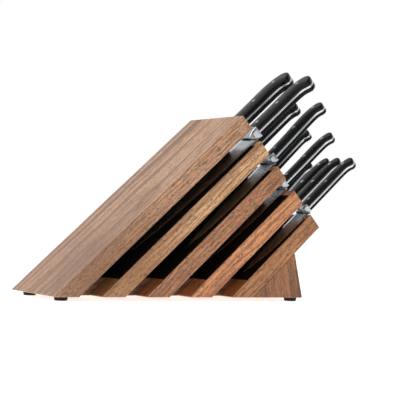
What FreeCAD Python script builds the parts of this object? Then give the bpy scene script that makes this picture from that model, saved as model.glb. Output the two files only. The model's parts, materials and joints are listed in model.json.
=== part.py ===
"""Slanted knife block of five spaced wooden boards, with ten full-tang forged knives.

Axes: +Z up, +X towards the handles, +Y from the near side to the far side. The origin is the
middle of the whole object's box, on the surface that the feet stand on. Lengths are millimetres.

Two working frames are used before the parts are placed:
  block frame - origin at the first board's bottom corner, on the boards' underside;
  knife frame - X along the knife towards its butt, Y towards its spine, Z out of its upper flat,
                with the origin on the shoulder that rests on the board's end.
"""
import FreeCAD, Part
import Sketcher
import math
import os

Vector = FreeCAD.Vector
Placement = FreeCAD.Placement
Rotation = FreeCAD.Rotation

doc = FreeCAD.newDocument("knife_block")
sheet = doc.addObject("Spreadsheet::Sheet", "sizes")

# ---------------------------------------------------------------- driving dimensions

BLOCK_SIZES = [
    ("slope_angle", 42.5, "tilt of the boards above the table, in degrees"),
    ("board_length", 351, "first board, from its bottom corner up to its top end"),
    ("board_thickness", 22.5, "every board"),
    ("block_depth", 133, "near side to far side"),
    ("slot_gap", 20, "free space between two boards"),
    ("edge_round", 1.0, "eased edges of the wooden pieces"),
    ("spacer_height", 22.5, "blocks that hold the boards apart, at the bottom"),
    ("spacer_recess", 32, "set back from the near and far sides"),
    ("liner_thickness", 1.5, "soft black sheet let into the board under the blades"),
    ("liner_side_inset", 1.5, "from the board's near and far sides"),
    ("liner_mouth_inset", 10, "from the board's top end"),
    ("core_width", 6, "dividing strip between the two halves of a slot"),
    ("core_offset", 0.5, "strip's middle, beyond the middle of the block"),
    ("core_mouth_inset", 14, "from the board's top end"),
    ("leg_height", 59.4, "wedge under the last board"),
    ("leg_base", 79.6, "wedge's width on the ground"),
    ("foot_height", 5.2, "rubber foot"),
    ("foot_top_diameter", 17.5, "against the wood"),
    ("foot_bottom_diameter", 16, "on the table"),
    ("front_foot_inset", 18, "first board's bottom corner to the foot's middle"),
    ("front_foot_side_inset", 20, "block's side to the foot's middle"),
    ("rear_foot_inset", 9.6, "wedge's outer corner to the foot's middle"),
    ("rear_foot_side_inset", 15, "block's side to the foot's middle"),
    ("dowel_diameter", 8, "hidden wooden pins"),
    ("dowel_depth", 8.5, "how far a pin enters a board"),
    ("leg_dowel_depth", 22, "how far a pin enters the wedge"),
    ("dowel_height", 11.25, "pin's middle above the boards' underside"),
    ("dowel_side_inset", 15, "spacer's near or far face to the pin's middle"),
    ("dowel_clearance", 0.1, "glue line round a pin and at its ends"),
]

KNIFE_SIZES = [
    ("blade_clearance", 0.3, "blade above the liner"),
    ("blade_board_length", 351, "board length that the blades' lengths are given for"),
    ("stop_clearance", 0.3, "shoulder before the board's end"),
    ("tang_thickness", 2.6, "steel seen between the two scales"),
    ("edge_thickness", 0.5, "cutting edge"),
    ("tip_thickness", 1.1, "blade at its point"),
    ("shoulder_thickness", 6.8, "bolster where it meets the blade"),
    ("heel_thickness", 4.4, "guard that runs down to the heel"),
    ("heel_width", 3.4, "guard, along the knife"),
    ("scale_round", 4.2, "long edges of the scales and the bolster"),
    ("rivet_diameter", 5, "three through each handle"),
    ("rivet_clearance", 0.05, "hole round a rivet"),
    ("first_rivet_inset", 11.5, "bolster's end to the first rivet"),
    ("beak_drop", 0.4, "hook of the butt below the handle, as a share of its height"),
]

KNIFE_COLUMNS = [
    ("row", "slot, counted from the top board"),
    ("side", "middle of the block to the handle's middle, far side positive"),
    ("yaw", "turn in its slot, in degrees, butt away from the near side"),
    ("handle", "shoulder to butt"),
    ("height", "handle, belly to spine"),
    ("thickness", "handle, across both scales"),
    ("bolster", "steel collar in front of the scales"),
    ("last_rivet", "shoulder to the rivet nearest the butt"),
    ("blade", "shoulder to point, in boards of blade_board_length"),
    ("heel_drop", "heel below the handle's belly"),
    ("point", "point above the handle's middle line"),
    ("spine", "back of the blade above the handle's middle line"),
    ("back", "blade's thickness at its back"),
]

KNIVES = {
    "bread_knife": (1, 35.3, 0, 150, 27, 17.6, 28, 126.5, 240, 5, -4, 11.5, 2.4),
    "chef_knife": (1, -32.5, -0.8, 133, 24, 16.8, 18.5, 114.5, 231, 13.5, 4, 11.5, 2.8),
    "carving_knife": (2, 36.5, 0.5, 136, 19.5, 15, 17.5, 120, 205, 7, 4, 9, 2.4),
    "cook_knife": (2, -36, 4, 131, 19, 13.5, 17.5, 118.5, 168, 12, 4, 9, 2.4),
    "boning_knife": (3, 30, 4, 128.5, 16, 12, 15, 114, 145, 5, 3, 7.5, 2.2),
    "utility_knife": (3, -26.5, 0, 119, 16, 12, 15, 104.5, 150, 12, 3, 7.5, 2.2),
    "peeling_knife": (4, 38.5, 6, 109, 16, 12, 13, 95, 85, 3, -3, 6, 1.8),
    "paring_knife": (4, 14, 0, 116, 16, 12, 13, 101, 95, 2, 1, 6, 1.8),
    "tomato_knife": (4, -11.5, 0, 116, 16, 12, 13, 101, 110, 3, -1, 6, 1.8),
    "vegetable_knife": (4, -42, 0, 115, 17, 12, 13, 101, 120, 12, 2, 7, 2.0),
}

SLOT_COUNT = max(sizes[0] for sizes in KNIVES.values())
BOARD_COUNT = SLOT_COUNT + 1


def fill_sheet():
    """One row of the sheet for each named size: its name, its value and what it is."""
    rows = list(BLOCK_SIZES) + list(KNIFE_SIZES)
    for knife, values in KNIVES.items():
        for (column, meaning), value in zip(KNIFE_COLUMNS, values):
            rows.append((f"{knife}_{column}", value, meaning))
    for number, (alias, value, meaning) in enumerate(rows, start=1):
        sheet.set(f"A{number}", alias)
        sheet.set(f"B{number}", str(value))
        sheet.setAlias(f"B{number}", alias)
        sheet.set(f"C{number}", meaning)
    doc.recompute()


def size(alias):
    return float(sheet.get(alias))


fill_sheet()

# Expressions that several pieces share. A slot's floor is the upper face of the board below it.
SLOPE = "(sizes.slope_angle * 1 deg)"
PITCH = "(sizes.board_thickness + sizes.slot_gap)"


def board_top(number):
    """Upper face of a board, measured square to the slope from the first board's upper face."""
    return f"({number - 1} * {PITCH})"


def board_under(number):
    """Lower face of a board, measured the same way."""
    return f"({number - 1} * {PITCH} + sizes.board_thickness)"


def along(level, across):
    """Distance up the slope at which a face that lies `across` reaches the height `level`."""
    return f"(({level} + {across} * cos({SLOPE})) / sin({SLOPE}))"


def bind(thing, expressions):
    for path, expression in expressions.items():
        thing.setExpression(path, expression)


# ---------------------------------------------------------------- wooden pieces

def body_plane(body, role):
    for feature in body.Origin.OriginFeatures:
        if feature.Role == role:
            return feature
    raise ValueError(role)


def profile_body(name, points, constraints, near_side, depth):
    """A body padded from a closed outline on the XZ plane, with all its edges eased.

    constraints holds (name or None, arguments of Sketcher.Constraint, expression or None).
    """
    body = doc.addObject("PartDesign::Body", name)
    sketch = body.newObject("Sketcher::SketchObject", f"{name}_outline")
    sketch.AttachmentSupport = [(body_plane(body, "XZ_Plane"), "")]
    sketch.MapMode = "FlatFace"
    bind(sketch, {".AttachmentOffset.Base.z": f"-({near_side})"})
    count = len(points)
    for index in range(count):
        start = Vector(*points[index], 0)
        end = Vector(*points[(index + 1) % count], 0)
        sketch.addGeometry(Part.LineSegment(start, end), False)
    for index in range(count):
        sketch.addConstraint(Sketcher.Constraint("Coincident", index, 2, (index + 1) % count, 1))
    for label, arguments, expression in constraints:
        added = sketch.addConstraint(Sketcher.Constraint(*arguments))
        if label:
            sketch.renameConstraint(added, label)
            sketch.setExpression(f"Constraints.{label}", expression)
    pad = body.newObject("PartDesign::Pad", f"{name}_pad")
    pad.Profile = sketch
    pad.Reversed = True
    bind(pad, {"Length": depth})
    doc.recompute()
    eased = body.newObject("PartDesign::Fillet", f"{name}_eased")
    eased.Base = (pad, [""])
    eased.UseAllEdges = True
    bind(eased, {"Radius": "sizes.edge_round"})
    body.Tip = eased
    return body


def slanted_bar(name, top_face, thickness, bottom_level, side_length, near_side, depth, level_top=False):
    """A bar between two faces parallel to the slope, cut level at its bottom end.

    Its other end is square to the slope, or level if level_top is set.
    """
    slope = math.radians(size("slope_angle"))
    guess = 40.0
    run = (guess * math.cos(slope), guess * math.sin(slope))
    points = [(0, 0), (guess, 0), (guess + run[0], run[1]), run]
    corner_x = f"{along(bottom_level, top_face)} * cos({SLOPE}) + {top_face} * sin({SLOPE})"
    end_rule = (None, ("Horizontal", 2), None)
    if not level_top:
        end_rule = (None, ("Perpendicular", 3, 2), None)
    constraints = [
        (None, ("Horizontal", 0), None),
        (None, ("Parallel", 1, 3), None),
        end_rule,
        ("corner_x", ("DistanceX", -1, 1, 0, 1, 1.0), corner_x),
        ("corner_z", ("DistanceY", -1, 1, 0, 1, 1.0), bottom_level),
        ("width", ("DistanceX", 0, 1, 0, 2, guess), f"{thickness} / sin({SLOPE})"),
        ("rise", ("DistanceY", 3, 2, 3, 1, run[1]), f"{side_length} * sin({SLOPE})"),
        ("reach", ("DistanceX", 3, 2, 3, 1, run[0]), f"{side_length} * cos({SLOPE})"),
    ]
    if bottom_level == "0":
        constraints[4] = (None, ("PointOnObject", 0, 1, -1), None)
    return profile_body(name, points, constraints, near_side, depth)


def make_leg():
    """The wedge under the last board: a triangle whose long side lies on that board."""
    guess = 60.0
    points = [(0, 0), (guess, 0), (guess * 0.8, guess * 0.7)]
    corner_x = f"{board_under(BOARD_COUNT)} / sin({SLOPE})"
    constraints = [
        (None, ("PointOnObject", 0, 1, -1), None),
        (None, ("Horizontal", 0), None),
        ("corner_x", ("DistanceX", -1, 1, 0, 1, 1.0), corner_x),
        ("base", ("DistanceX", 0, 1, 0, 2, guess), "sizes.leg_base"),
        ("rise", ("DistanceY", 2, 2, 2, 1, guess), "sizes.leg_height"),
        ("reach", ("DistanceX", 2, 2, 2, 1, guess), f"sizes.leg_height / tan({SLOPE})"),
    ]
    return profile_body("leg_blank", points, constraints, "0", "sizes.block_depth")


def joint_x(joint):
    """Where a joint's slanted face crosses the height of the dowels."""
    return f"({board_under(joint)} / sin({SLOPE}) + sizes.dowel_height / tan({SLOPE}))"


def pin_pair(name, joint, radius, extra):
    """Two level pins through a spacer, or into the leg, and into the boards beside it."""
    inner_reach = "sizes.leg_dowel_depth"
    if joint < BOARD_COUNT:
        inner_reach = f"sizes.slot_gap / sin({SLOPE}) + sizes.dowel_depth"
    side = "(sizes.spacer_recess + sizes.dowel_side_inset)"
    pins = []
    for number, y in enumerate((side, f"sizes.block_depth - {side}"), start=1):
        pin = doc.addObject("Part::Cylinder", f"{name}_{number}")
        pin.Placement = Placement(Vector(), Rotation(Vector(0, 1, 0), 90))
        bind(pin, {
            "Radius": radius,
            "Height": f"sizes.dowel_depth + {inner_reach} + 2 * {extra}",
            ".Placement.Base.x": f"{joint_x(joint)} - sizes.dowel_depth - {extra}",
            ".Placement.Base.y": y,
            ".Placement.Base.z": "sizes.dowel_height",
        })
        pins.append(pin)
    return pins


def compound(name, pieces):
    group = doc.addObject("Part::Compound", name)
    group.Links = pieces
    return group


def cut(name, blank, tools):
    result = doc.addObject("Part::Cut", name)
    result.Base = blank
    result.Tool = compound(f"{name}_cuts", tools)
    return result


def liner_sheet(name, board):
    """A thin sheet let into a board's upper face, from the spacer's top up to near the mouth."""
    start = along("sizes.spacer_height", board_top(board))
    depth = f"({board_top(board)} + sizes.liner_thickness)"
    liner = doc.addObject("Part::Box", name)
    liner.Placement = Placement(Vector(), Rotation(Vector(0, 1, 0), -size("slope_angle")))
    bind(liner, {
        "Length": f"sizes.board_length - sizes.liner_mouth_inset - {start}",
        "Width": "sizes.block_depth - 2 * sizes.liner_side_inset",
        "Height": "sizes.liner_thickness",
        ".Placement.Base.x": f"{start} * cos({SLOPE}) + {depth} * sin({SLOPE})",
        ".Placement.Base.y": "sizes.liner_side_inset",
        ".Placement.Base.z": f"{start} * sin({SLOPE}) - {depth} * cos({SLOPE})",
    })
    return liner


def make_block():
    """Boards, spacers, cores, liners, leg, feet and dowels, in the block frame."""
    parts = {}
    holes = {joint: pin_pair(f"hole_{joint}", joint, "sizes.dowel_diameter / 2 + sizes.dowel_clearance",
                             "sizes.dowel_clearance")
             for joint in range(1, BOARD_COUNT + 1)}
    dowels = []
    for joint in holes:
        dowels += pin_pair(f"dowel_{joint}", joint, "sizes.dowel_diameter / 2", "0")
    parts["dowels"] = compound("dowels", dowels)
    for board in range(1, BOARD_COUNT + 1):
        top = board_top(board)
        blank = slanted_bar(f"board_blank_{board}", top, "sizes.board_thickness", "0",
                            f"(sizes.board_length - {along('0', top)})", "0", "sizes.block_depth")
        tools = list(holes[board])
        if board > 1:
            tools += holes[board - 1]
            liner = liner_sheet(f"liner_sheet_{board - 1}", board)
            parts[f"slot_liner_{board - 1}"] = compound(f"slot_liner_{board - 1}", [liner])
            tools.append(liner_sheet(f"liner_recess_{board - 1}", board))
        parts[f"board_{board}"] = cut(f"board_{board}", blank, tools)
    for slot in range(1, SLOT_COUNT + 1):
        face = board_under(slot)
        spacer = slanted_bar(f"spacer_blank_{slot}", face, "sizes.slot_gap", "0",
                             f"sizes.spacer_height / sin({SLOPE})", "sizes.spacer_recess",
                             "sizes.block_depth - 2 * sizes.spacer_recess", level_top=True)
        parts[f"spacer_{slot}"] = cut(f"spacer_{slot}", spacer, holes[slot])
        start = along("sizes.spacer_height", face)
        parts[f"core_strip_{slot}"] = slanted_bar(
            f"core_strip_{slot}", face, "sizes.slot_gap", "sizes.spacer_height",
            f"(sizes.board_length - sizes.core_mouth_inset - {start})",
            "(sizes.block_depth - sizes.core_width) / 2 + sizes.core_offset", "sizes.core_width")
    parts["rear_leg"] = cut("rear_leg", make_leg(), holes[BOARD_COUNT])
    parts["rubber_feet"] = make_feet()
    return parts


def make_feet():
    """Four tapered rubber feet: two under the first board and two under the wedge."""
    rear_x = f"{board_under(BOARD_COUNT)} / sin({SLOPE}) + sizes.leg_base - sizes.rear_foot_inset"
    places = [("sizes.front_foot_inset", "sizes.front_foot_side_inset"),
              (rear_x, "sizes.rear_foot_side_inset")]
    feet = []
    for end, (x, side) in zip(("front", "rear"), places):
        for edge, y in (("near", side), ("far", f"sizes.block_depth - {side}")):
            foot = doc.addObject("Part::Cone", f"{end}_{edge}_foot")
            bind(foot, {
                "Radius1": "sizes.foot_bottom_diameter / 2",
                "Radius2": "sizes.foot_top_diameter / 2",
                "Height": "sizes.foot_height",
                ".Placement.Base.x": x,
                ".Placement.Base.y": y,
                ".Placement.Base.z": "-sizes.foot_height",
            })
            feet.append(foot)
    return compound("rubber_feet", feet)


# ---------------------------------------------------------------- knives

# Outline of the butt, as shares of the handle's height: distance in front of the butt's end, and
# height above the middle line. The hook's points are shares of beak_drop below the belly.
BUTT_BACK = [(0.95, 0.5), (0.45, 0.35), (0.15, 0.16), (0, -0.1), (0.06, -0.42)]
BUTT_HOOK = [(0.3, 0.57), (0.62, 1.0), (0.8, 0.86), (0.93, 0.45), (1.12, 0.14)]
BELLY_WAIST = (1.6, -0.485)
BACK_SWELL = 0.005


def handle_outline(knife):
    """Closed outline of a handle: straight back, sloping butt and a hook below the belly."""
    length, height, front = knife["handle"], knife["height"], knife["bolster"]
    drop = size("beak_drop")
    shares = BUTT_BACK + [(before, -0.5 - share * drop) for before, share in BUTT_HOOK] + [BELLY_WAIST]
    points = [
        Vector(front, 0.5 * height, 0),
        Vector(front + 0.45 * (length - front), (0.5 + BACK_SWELL) * height, 0),
        *[Vector(length - before * height, above * height, 0) for before, above in shares],
        Vector(front + 0.4 * (length - front), -0.49 * height, 0),
        Vector(front, -0.5 * height, 0),
    ]
    curve = Part.BSplineCurve()
    curve.interpolate(points)
    front_line = Part.LineSegment(points[-1], points[0])
    return Part.Face(Part.Wire([curve.toShape(), front_line.toShape()]))


def corner_radius(knife):
    """Rounding of the handle's long edges, kept below the butt's own curves and the scale."""
    scale = (knife["thickness"] - size("tang_thickness")) / 2
    return min(size("scale_round"), 0.13 * knife["height"], 0.9 * scale)


def rounded_section(x, low, high, half_thickness, corner):
    """Rectangle with round corners, square to the knife at x."""
    r = min(corner, 0.45 * (high - low), 0.9 * half_thickness)
    t = half_thickness
    diagonal = r * (1 - math.sqrt(0.5))
    corners = [
        ((high - r, t), (high - diagonal, t - diagonal), (high, t - r)),
        ((high, -t + r), (high - diagonal, -t + diagonal), (high - r, -t)),
        ((low + r, -t), (low + diagonal, -t + diagonal), (low, -t + r)),
        ((low, t - r), (low + diagonal, t - diagonal), (low + r, t)),
    ]
    edges = []
    for index, arc_points in enumerate(corners):
        start, middle, end = [Vector(x, y, z) for y, z in arc_points]
        following = Vector(x, *corners[(index + 1) % 4][0])
        edges.append(Part.Arc(start, middle, end).toShape())
        edges.append(Part.LineSegment(end, following).toShape())
    return Part.Wire(edges)


def bezier(*poles):
    curve = Part.BezierCurve()
    curve.setPoles([Vector(x, y, 0) for x, y in poles])
    return curve.toShape()


def blade_plate(knife, front):
    """Blade outline with a curved edge and a dropped point, ground to a wedge and tapered."""
    low = -knife["height"] / 2 - knife["heel_drop"]
    length, spine, point = knife["blade"], knife["spine"], knife["point"]
    edge = bezier((front, low), (-0.8 * length, low), (-length, point))
    back = bezier((-length, point), (-0.8 * length, spine), (-0.45 * length, spine))
    straight = Part.LineSegment(Vector(-0.45 * length, spine, 0), Vector(front, spine, 0)).toShape()
    end = Part.LineSegment(Vector(front, spine, 0), Vector(front, low, 0)).toShape()
    face = Part.Face(Part.Wire([edge, back, straight, end]))
    reach = knife["back"]
    plate = face.extrude(Vector(0, 0, 2 * reach))
    plate.translate(Vector(0, 0, -reach))
    half, sharp = knife["back"] / 2, size("edge_thickness") / 2
    tip = size("tip_thickness") / 2
    x0, x1 = -length - 1, front + 1
    ground = Part.makePolygon([Vector(x0, low - 1, sharp), Vector(x0, spine, half),
                               Vector(x0, spine + 1, half), Vector(x0, spine + 1, -half),
                               Vector(x0, spine, -half), Vector(x0, low - 1, -sharp),
                               Vector(x0, low - 1, sharp)])
    wedge = Part.Face(ground).extrude(Vector(x1 - x0, 0, 0))
    side = Part.makePolygon([Vector(x0, low - 2, tip), Vector(0, low - 2, half), Vector(x1, low - 2, half),
                             Vector(x1, low - 2, -half), Vector(0, low - 2, -half),
                             Vector(x0, low - 2, -tip), Vector(x0, low - 2, tip)])
    taper = Part.Face(side).extrude(Vector(0, spine - low + 4, 0))
    return plate.common(wedge).common(taper)


def bolster(knife, front):
    """Collar that swells from the shoulder to the handle, with a guard down to the heel."""
    half = knife["height"] / 2
    length, thick = knife["bolster"], knife["thickness"] / 2
    shoulder = size("shoulder_thickness") / 2
    corner = corner_radius(knife)
    sections = [
        rounded_section(front, -half + 1, knife["spine"], shoulder, corner),
        rounded_section(0.38 * length, -half + 2.2, half - 1.2, 0.62 * thick, corner),
        rounded_section(0.75 * length, -half + 0.5, half - 0.4, 0.95 * thick, corner),
        rounded_section(length, -half, half, thick, corner),
    ]
    collar = Part.makeLoft(sections, True, False)
    low = -half - knife["heel_drop"]
    width = front + size("heel_width")
    inner = (0.6 * length, -half + 3)
    rear = bezier((width, low), (width, -half), inner)
    lines = Part.makePolygon([Vector(*inner, 0), Vector(inner[0], 0, 0), Vector(front, 0, 0),
                              Vector(front, low, 0), Vector(width, low, 0)])
    guard_face = Part.Face(Part.Wire([rear] + lines.Edges))
    guard = guard_face.extrude(Vector(0, 0, size("heel_thickness")))
    guard.translate(Vector(0, 0, -size("heel_thickness") / 2))
    return collar.fuse(guard)


def rivet_places(knife):
    """Three places along the handle, evenly spaced from the bolster's end to the last rivet."""
    first = knife["bolster"] + size("first_rivet_inset")
    last = knife["last_rivet"]
    return [first, (first + last) / 2, last]


def rivet_holes(knife):
    radius = size("rivet_diameter") / 2 + size("rivet_clearance")
    reach = knife["thickness"]
    return [Part.makeCylinder(radius, 2 * reach, Vector(x, 0, -reach)) for x in rivet_places(knife)]


def forged_steel(knife):
    """Blade, bolster and full tang, which are one forging."""
    front = size("stop_clearance")
    tang = size("tang_thickness")
    outline = handle_outline(knife)
    plate = outline.extrude(Vector(0, 0, tang))
    plate.translate(Vector(0, 0, -tang / 2))
    steel = blade_plate(knife, front).fuse([bolster(knife, front), plate])
    return steel.removeSplitter().cut(rivet_holes(knife))


def handle_scale(knife, side):
    """One slab of the handle, rounded along its outer edge; side is 1 above the tang, -1 below."""
    inner = size("tang_thickness") / 2
    outer = knife["thickness"] / 2
    outline = handle_outline(knife)
    slab = outline.extrude(Vector(0, 0, outer - inner))
    slab.translate(Vector(0, 0, inner))
    long_edges = [edge for edge in slab.Edges
                  if edge.BoundBox.ZMin > outer - 0.01 and edge.BoundBox.XLength > 1]
    slab = slab.makeFillet(corner_radius(knife), long_edges)
    if side < 0:
        slab.rotate(Vector(), Vector(1, 0, 0), 180)
        slab = slab.mirror(Vector(), Vector(0, 1, 0))
    return slab.cut(rivet_holes(knife))


def shape_feature(name, shape):
    feature = doc.addObject("Part::Feature", name)
    feature.Shape = shape
    return feature


def rivets(name, knife):
    """Three rivets, flush with both scales."""
    pins = []
    for number, x in enumerate(rivet_places(knife), start=1):
        pin = doc.addObject("Part::Cylinder", f"{name}_rivet_{number}")
        pin.Placement = Placement(Vector(x, 0, -knife["thickness"] / 2), Rotation())
        bind(pin, {"Radius": "sizes.rivet_diameter / 2", "Height": f"sizes.{name}_thickness"})
        pins.append(pin)
    return compound(f"{name}_rivets", pins)


def slot_growth(row):
    """Free depth of a slot, from its board's end to its spacer, as a share of what the blades fit."""
    slope = math.radians(size("slope_angle"))
    floor = row * (size("board_thickness") + size("slot_gap"))
    filled = (size("spacer_height") + floor * math.cos(slope)) / math.sin(slope)
    return (size("board_length") - filled) / (size("blade_board_length") - filled)


def knife_placement(knife):
    """From the knife frame to the block frame: on its board, turned in its slot, on its stop.

    A turned knife rests on one corner of its shoulder, so it is drawn out by that corner's reach.
    """
    slope = math.radians(size("slope_angle"))
    turned = math.sin(math.radians(knife["yaw"]))
    floor = knife["row"] * (size("board_thickness") + size("slot_gap"))
    across = floor - size("blade_clearance") - knife["back"] / 2
    heel = -knife["height"] / 2 - knife["heel_drop"]
    up = size("board_length") + max(knife["spine"] * turned, heel * turned)
    side = size("block_depth") / 2 + knife["side"]
    base = Vector(up * math.cos(slope) + across * math.sin(slope), side,
                  up * math.sin(slope) - across * math.cos(slope))
    tilt = Rotation(Vector(0, 1, 0), -size("slope_angle"))
    turn = Rotation(Vector(0, 0, 1), knife["yaw"])
    return Placement(base, tilt.multiply(turn))


def make_knives():
    """Four nodes for each knife, with the placement that seats them."""
    parts = {}
    for name in KNIVES:
        knife = {column: size(f"{name}_{column}") for column, _ in KNIFE_COLUMNS}
        knife["row"] = int(knife["row"])
        knife["blade"] *= slot_growth(knife["row"])
        pieces = [
            shape_feature(f"{name}_blade", forged_steel(knife)),
            shape_feature(f"{name}_upper_scale", handle_scale(knife, 1)),
            shape_feature(f"{name}_lower_scale", handle_scale(knife, -1)),
            rivets(name, knife),
        ]
        for piece in pieces:
            piece.Placement = knife_placement(knife)
            parts[piece.Name] = piece
    return parts


# ---------------------------------------------------------------- assembly and files

def check(parts):
    for thing in doc.Objects:
        if "Invalid" in thing.State or "Error" in thing.State:
            raise RuntimeError(f"{thing.Name} failed: {thing.State}")
    for name, part in parts.items():
        if part.Shape.isNull() or not part.Shape.isValid() or not part.Shape.Solids:
            raise RuntimeError(f"{name} has no valid solid")


def main():
    parts = make_block()
    parts.update(make_knives())
    doc.recompute()
    whole = FreeCAD.BoundBox()
    for part in parts.values():
        whole.add(part.Shape.optimalBoundingBox(False))
    shift = Vector(-whole.Center.x, -whole.Center.y, -whole.ZMin)
    for name, part in parts.items():
        part.Label = name
        part.Placement = Placement(shift, Rotation()).multiply(part.Placement)
    doc.recompute()
    check(parts)
    os.makedirs("parts", exist_ok=True)
    for name, part in parts.items():
        part.Shape.exportStep(f"parts/{name}.step")
    print(len(parts), "nodes; box", [round(v, 3) for v in (whole.XLength, whole.YLength, whole.ZLength)],
          "shift", [round(v, 4) for v in shift])


main()
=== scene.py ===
"""Slanted knife block with ten forged knives: the steel, handles, feet, wood finishes and studio.

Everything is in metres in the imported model's frame: +Z up, +X towards the handles, +Y from the
near side to the far side. A knife's own axes are `along` (towards its butt), `spine` (towards its
back) and `out` (out of its upper flat), with the origin on the shoulder of its bolster.
"""
import json
import math

import bmesh
import bpy
import numpy as np
from mathutils import Matrix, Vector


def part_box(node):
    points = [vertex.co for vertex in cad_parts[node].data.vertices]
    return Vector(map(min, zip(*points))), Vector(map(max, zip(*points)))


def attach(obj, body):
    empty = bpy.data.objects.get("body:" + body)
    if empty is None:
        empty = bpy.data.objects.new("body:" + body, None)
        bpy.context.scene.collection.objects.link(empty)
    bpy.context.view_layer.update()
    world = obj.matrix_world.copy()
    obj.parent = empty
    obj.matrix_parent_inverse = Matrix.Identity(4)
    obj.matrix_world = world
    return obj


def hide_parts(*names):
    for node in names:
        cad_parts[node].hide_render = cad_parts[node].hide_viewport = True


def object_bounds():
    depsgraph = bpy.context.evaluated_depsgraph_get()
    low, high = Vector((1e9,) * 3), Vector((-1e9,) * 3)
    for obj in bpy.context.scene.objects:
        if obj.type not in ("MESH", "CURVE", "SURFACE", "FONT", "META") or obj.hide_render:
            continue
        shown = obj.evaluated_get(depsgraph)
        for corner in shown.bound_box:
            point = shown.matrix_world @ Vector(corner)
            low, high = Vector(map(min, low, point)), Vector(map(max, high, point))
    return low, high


bl_info = {
    "name": "Knife block with forged knives",
    "version": (1, 0, 0),
    "blender": (4, 5, 0),
    "location": "3D View > Sidebar > Knife block",
    "description": "Builds the steel, handles, feet, wood finishes and studio of a slanted knife block",
    "category": "Object",
}

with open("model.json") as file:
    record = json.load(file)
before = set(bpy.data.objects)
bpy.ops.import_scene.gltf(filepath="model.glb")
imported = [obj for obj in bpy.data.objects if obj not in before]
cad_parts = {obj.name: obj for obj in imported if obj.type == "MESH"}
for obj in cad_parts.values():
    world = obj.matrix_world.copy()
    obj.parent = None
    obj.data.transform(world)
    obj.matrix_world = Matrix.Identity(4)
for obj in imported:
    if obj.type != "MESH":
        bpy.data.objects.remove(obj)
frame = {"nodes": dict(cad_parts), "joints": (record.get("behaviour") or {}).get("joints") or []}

MM = 0.001
CAD_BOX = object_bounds()
KNIVES = [joint["child"] for joint in frame["joints"]]
SLOPE = math.atan2(frame["joints"][0]["axis"][2], frame["joints"][0]["axis"][0])


# ---------------------------------------------------------------- settings

class KnifeSettings(bpy.types.PropertyGroup):
    """Sizes that all the knives share."""
    pillow: bpy.props.FloatProperty(
        name="Pillow", description="Rounding of a scale's long edges, as a share of the handle's height",
        default=0.085, min=0.05, max=0.2)
    pillow_limit: bpy.props.FloatProperty(
        name="Largest rounding", description="Largest rounding of a scale's edges",
        default=4.0 * MM, unit="LENGTH")
    crown: bpy.props.FloatProperty(
        name="Crown", description="Rise of a scale's broad face, as a share of the handle's height",
        default=0.025)
    joint_ease: bpy.props.FloatProperty(
        name="Joint ease", description="Eased arris where a scale meets the tang",
        default=0.25 * MM, unit="LENGTH")
    cutting_bevel: bpy.props.FloatProperty(
        name="Cutting bevel", description="Width of the last bevel, along the cutting edge",
        default=1.0 * MM, unit="LENGTH")
    edge_thickness: bpy.props.FloatProperty(
        name="Edge thickness", description="Blade's thickness above its cutting bevel",
        default=0.5 * MM, unit="LENGTH")
    point_taper: bpy.props.FloatProperty(
        name="Point taper", description="Share of the blade's height under which it thins towards the point",
        default=0.45, min=0.05, max=1.0)
    least_thickness: bpy.props.FloatProperty(
        name="Least thickness",
        description="Half thickness that keeps a blade's two flats apart at the point",
        default=0.002 * MM, unit="LENGTH", precision=6)
    guard_thickness: bpy.props.FloatProperty(
        name="Guard thickness", description="Guard that runs down to the heel",
        default=4.4 * MM, unit="LENGTH")
    guard_width: bpy.props.FloatProperty(
        name="Guard width", description="Guard at the heel, along the knife", default=3.4 * MM, unit="LENGTH")
    shoulder_thickness: bpy.props.FloatProperty(
        name="Shoulder thickness", description="Bolster where it meets the blade",
        default=6.8 * MM, unit="LENGTH")
    neck_rounding: bpy.props.FloatProperty(
        name="Neck rounding", description="How nearly the bolster's neck is a full round, as a share",
        default=0.4, min=0.0, max=1.0)
    rivet_dome: bpy.props.FloatProperty(
        name="Rivet dome", description="How far a rivet's middle stands proud",
        default=0.12 * MM, unit="LENGTH")


class WoodSettings(bpy.types.PropertyGroup):
    """The wood's grain, in real sizes."""
    ring_spacing: bpy.props.FloatProperty(
        name="Ring spacing", description="One year's growth", default=5.0 * MM, unit="LENGTH")
    streak_width: bpy.props.FloatProperty(
        name="Streak width", description="Bands of darker heartwood", default=11.0 * MM, unit="LENGTH")
    fibre_width: bpy.props.FloatProperty(
        name="Fibre width", description="Fine lines of grain, drawn coarse enough to show",
        default=1.3 * MM, unit="LENGTH")
    pore_width: bpy.props.FloatProperty(
        name="Pore width", description="Open pores, drawn coarse enough to show",
        default=1.3 * MM, unit="LENGTH")


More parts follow.
